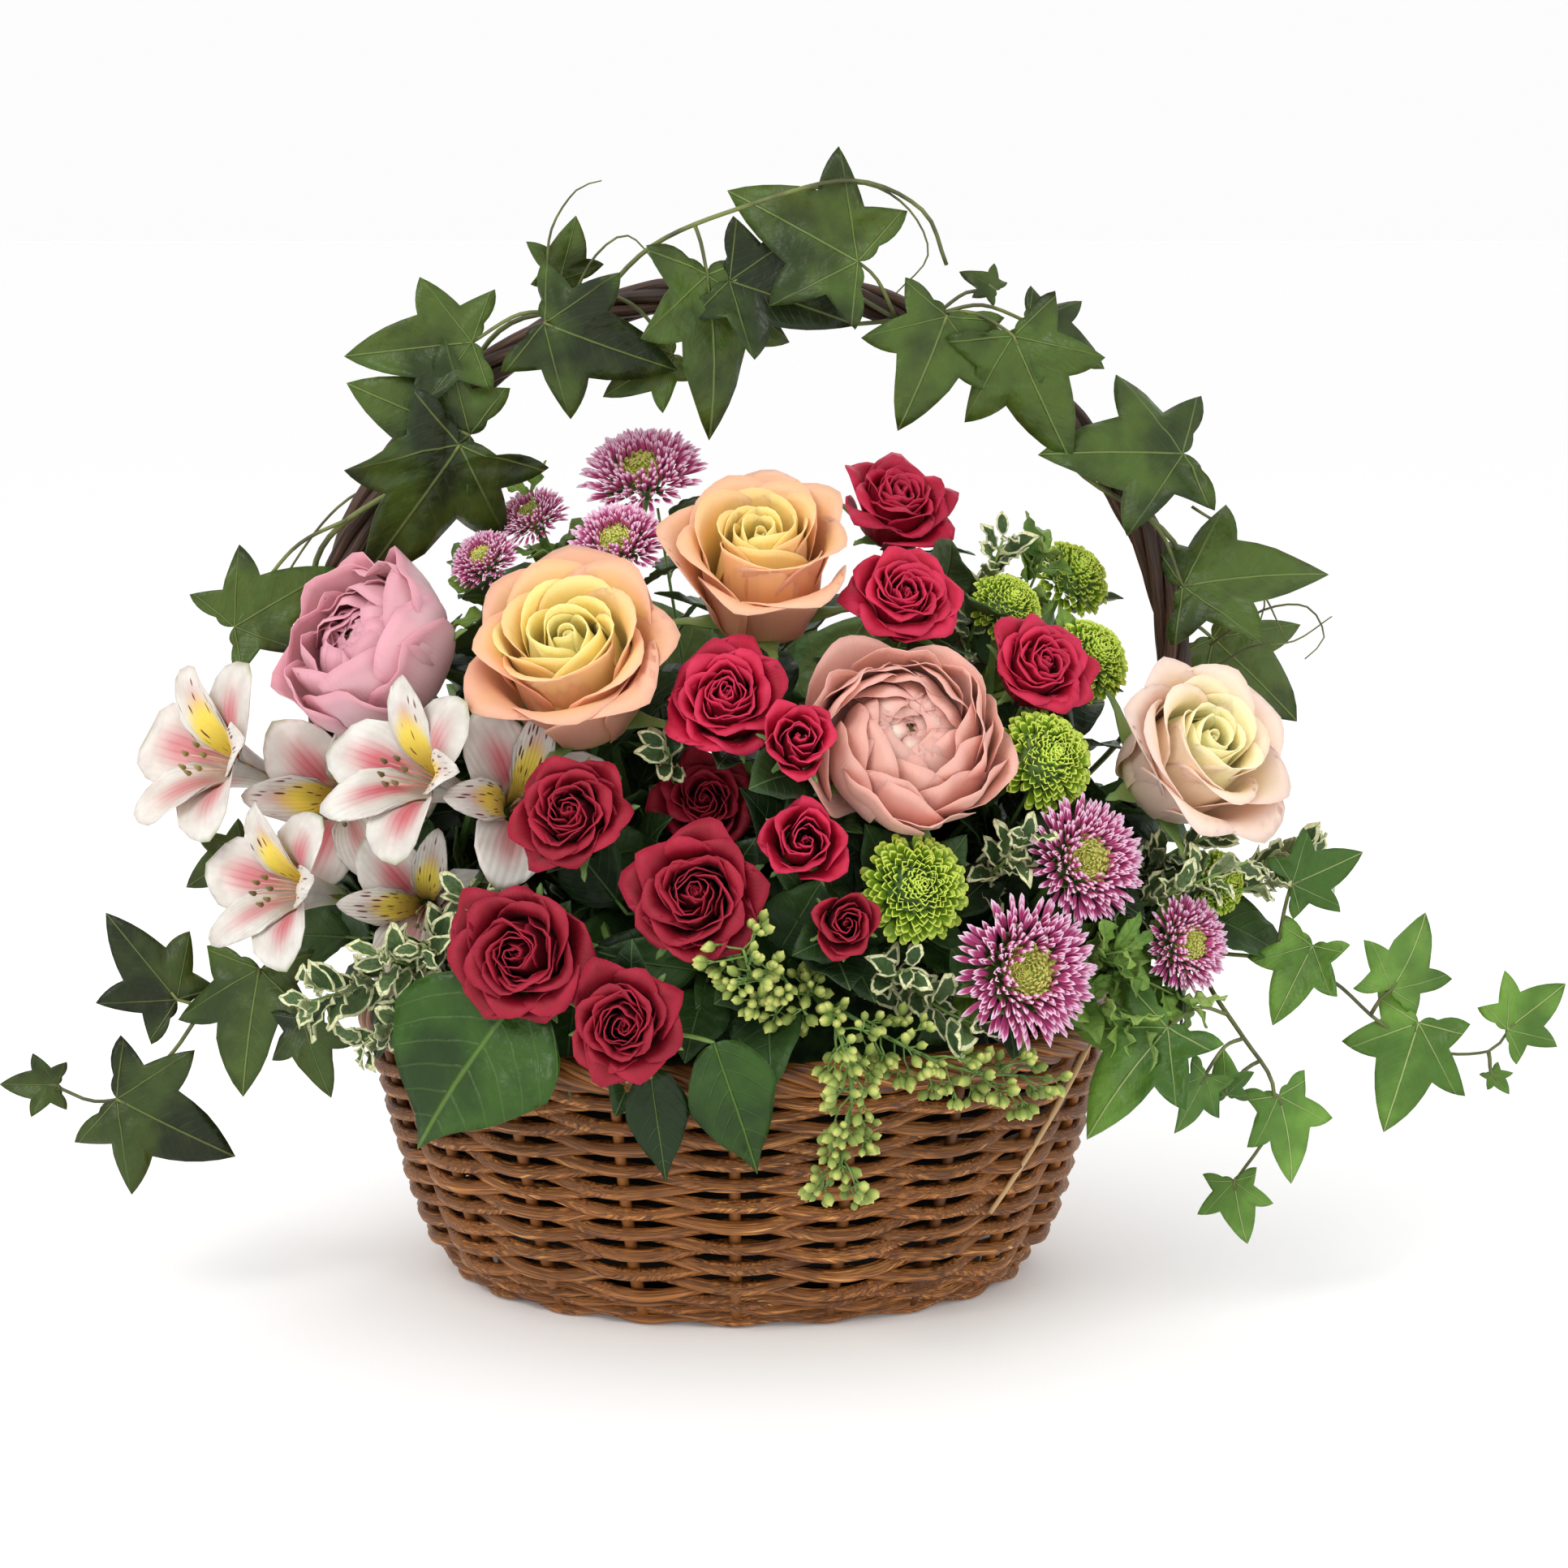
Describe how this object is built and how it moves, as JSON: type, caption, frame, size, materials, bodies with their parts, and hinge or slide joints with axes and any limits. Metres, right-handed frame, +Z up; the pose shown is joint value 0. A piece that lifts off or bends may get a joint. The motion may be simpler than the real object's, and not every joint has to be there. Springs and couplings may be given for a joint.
{
  "type": "flower basket arrangement",
  "caption": "Oval willow basket with an ivy-twined arched handle, filled with roses, ranunculus, asters, button mums, alstroemeria and greenery set in floral foam.",
  "frame": {"origin": "centre of the basket's underside, on the surface it stands on", "axes": "+Z up, front of the arrangement faces -Y, +X to the viewer's right along the handle's span"},
  "size_m": [0.4972, 0.2264, 0.3621],
  "materials": {
    "willow": "stained, satin",
    "dark_willow": "dark bark, matte",
    "liner": "dark green film",
    "floral_foam": "wet open-cell foam, matte",
    "peach_petals": "soft petal",
    "blush_petals": "soft petal",
    "crimson_petals": "velvety petal",
    "lavender_florets": "soft petal",
    "lime_florets": "soft petal",
    "white_petals": "soft petal",
    "green_stem": "matte plant skin",
    "ivy_leaf": "waxy leaf",
    "salal_leaf": "waxy leaf",
    "cream_edged_leaf": "waxy leaf, cream edges",
    "eucalyptus_berry": "matte seed heads"
  },
  "bodies": {
    "root": {"basket_wall": "willow", "basket_base": "willow", "basket_rim": "willow", "basket_handle": "dark_willow", "liner": "liner", "floral_foam": "floral_foam", "peach_rose_left": "peach_petals", "peach_rose_top": "peach_petals", "peach_rose_right": "peach_petals", "ranunculus_left": "blush_petals", "ranunculus_centre": "blush_petals", "spray_rose_upper_left": "crimson_petals", "spray_rose_front": "crimson_petals", "spray_rose_lower_left": "crimson_petals", "spray_rose_rim": "crimson_petals", "spray_rose_middle": "crimson_petals", "spray_rose_small": "crimson_petals", "spray_rose_right_of_middle": "crimson_petals", "spray_rose_bud": "crimson_petals", "spray_rose_inner": "crimson_petals", "spray_rose_top": "crimson_petals", "spray_rose_upper_right": "crimson_petals", "spray_rose_right": "crimson_petals", "aster_top": "lavender_florets", "aster_upper": "lavender_florets", "aster_back_left": "lavender_florets", "aster_left": "lavender_florets", "aster_right": "lavender_florets", "aster_front": "lavender_florets", "aster_far_right": "lavender_florets", "mum_upper": "lime_florets", "mum_back": "lime_florets", "mum_upper_right": "lime_florets", "mum_middle": "lime_florets", "mum_front": "lime_florets", "mum_right": "lime_florets", "alstroemeria_upper": "white_petals", "alstroemeria_middle": "white_petals", "alstroemeria_lower": "white_petals", "peach_rose_left_stem": "green_stem", "peach_rose_top_stem": "green_stem", "peach_rose_right_stem": "green_stem", "ranunculus_left_stem": "green_stem", "ranunculus_centre_stem": "green_stem", "spray_rose_left_stem": "green_stem", "spray_rose_middle_stem": "green_stem", "spray_rose_right_stem": "green_stem", "aster_left_stem": "green_stem", "aster_right_stem": "green_stem", "mum_stem": "green_stem", "alstroemeria_stem": "green_stem", "ivy_handle_left": "ivy_leaf", "ivy_handle_right": "ivy_leaf", "ivy_trail_left": "ivy_leaf", "ivy_trail_right": "ivy_leaf", "salal_front": "salal_leaf", "salal_back": "salal_leaf", "pittosporum_left": "cream_edged_leaf", "pittosporum_right": "cream_edged_leaf", "seeded_eucalyptus": "eucalyptus_berry"}
  },
  "joints": []
}
